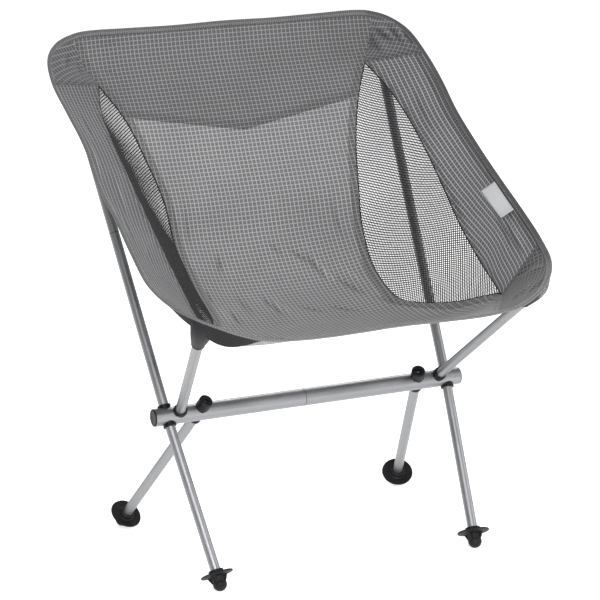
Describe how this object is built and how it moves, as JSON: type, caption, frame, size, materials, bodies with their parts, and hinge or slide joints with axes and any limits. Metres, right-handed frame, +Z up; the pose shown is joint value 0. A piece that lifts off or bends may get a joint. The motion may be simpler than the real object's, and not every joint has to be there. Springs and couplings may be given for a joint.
{
  "type": "ultralight backpacking chair",
  "caption": "Low folding camp chair: a sling of ripstop and mesh on slim aluminium poles that plug into a crosswise beam, with ball feet and ground discs.",
  "frame": {"origin": "on the floor, at the centre of the chair's footprint box", "axes": "+Z up, -Y is the front that the sitter faces, X runs along the beam"},
  "size_m": [0.5392, 0.5317, 0.6383],
  "materials": {
    "satin_aluminium": "satin anodised",
    "bare_aluminium": "smooth drawn",
    "moulded_plastic": "fine moulded texture",
    "foot_rubber": "matt rubber",
    "shock_cord": "braided elastic",
    "ripstop_light": "ripstop weave, light grid",
    "ripstop_dark": "ripstop weave, light grid",
    "ripstop_side": "ripstop weave, lengthwise lines",
    "mesh_net": "open net",
    "hem": "folded and stitched",
    "label": "woven, blank"
  },
  "bodies": {
    "frame_and_sling": {"beam_left": "satin_aluminium", "beam_right": "satin_aluminium", "beam_ferrule": "bare_aluminium", "beam_plug_left": "moulded_plastic", "beam_plug_right": "moulded_plastic", "back_socket_left": "moulded_plastic", "back_socket_right": "moulded_plastic", "seat_socket_left": "moulded_plastic", "seat_socket_right": "moulded_plastic", "rear_socket_left": "moulded_plastic", "rear_socket_right": "moulded_plastic", "back_spigot_left": "bare_aluminium", "back_spigot_right": "bare_aluminium", "seat_spigot_left": "bare_aluminium", "seat_spigot_right": "bare_aluminium", "rear_spigot_left": "bare_aluminium", "rear_spigot_right": "bare_aluminium", "back_pole_lower_left": "satin_aluminium", "back_pole_lower_right": "satin_aluminium", "back_pole_upper_left": "satin_aluminium", "back_pole_upper_right": "satin_aluminium", "back_ferrule_left": "bare_aluminium", "back_ferrule_right": "bare_aluminium", "back_tip_left": "moulded_plastic", "back_tip_right": "moulded_plastic", "seat_pole_left": "satin_aluminium", "seat_pole_right": "satin_aluminium", "seat_tip_left": "moulded_plastic", "seat_tip_right": "moulded_plastic", "beam_cord": "shock_cord", "back_cord_left": "shock_cord", "back_cord_right": "shock_cord", "seat_cord_left": "shock_cord", "seat_cord_right": "shock_cord", "rear_cord_left": "shock_cord", "rear_cord_right": "shock_cord", "centre_panel": "ripstop_light", "headrest_panel": "ripstop_dark", "mesh_left": "mesh_net", "mesh_right": "mesh_net", "wing_left": "ripstop_side", "wing_right": "ripstop_side", "back_pocket_left": "ripstop_side", "back_pocket_right": "ripstop_side", "front_pocket_left": "ripstop_side", "front_pocket_right": "ripstop_side", "edge_binding": "hem", "side_label": "label"},
    "front_leg_left": {"front_leg_left": "satin_aluminium", "front_foot_left": "foot_rubber"},
    "rear_leg_left": {"rear_leg_left": "satin_aluminium", "rear_foot_left": "foot_rubber"},
    "front_leg_right": {"front_leg_right": "satin_aluminium", "front_foot_right": "foot_rubber"},
    "rear_leg_right": {"rear_leg_right": "satin_aluminium", "rear_foot_right": "foot_rubber"}
  },
  "joints": [
    {"name": "front_leg_left_pull", "type": "slide", "parent": "frame_and_sling", "child": "front_leg_left", "axis": [0.0834, -0.5454, -0.834], "range_m": [0, 0.044], "stiffness_N_per_m": 200, "springref_m": -0.05},
    {"name": "rear_leg_left_pull", "type": "slide", "parent": "frame_and_sling", "child": "rear_leg_left", "axis": [-0.1988, 0.6132, -0.7645], "range_m": [0, 0.044], "stiffness_N_per_m": 200, "springref_m": -0.05},
    {"name": "front_leg_right_pull", "type": "slide", "parent": "frame_and_sling", "child": "front_leg_right", "axis": [-0.0834, -0.5454, -0.834], "range_m": [0, 0.044], "stiffness_N_per_m": 200, "springref_m": -0.05},
    {"name": "rear_leg_right_pull", "type": "slide", "parent": "frame_and_sling", "child": "rear_leg_right", "axis": [0.1988, 0.6132, -0.7645], "range_m": [0, 0.044], "stiffness_N_per_m": 200, "springref_m": -0.05}
  ]
}
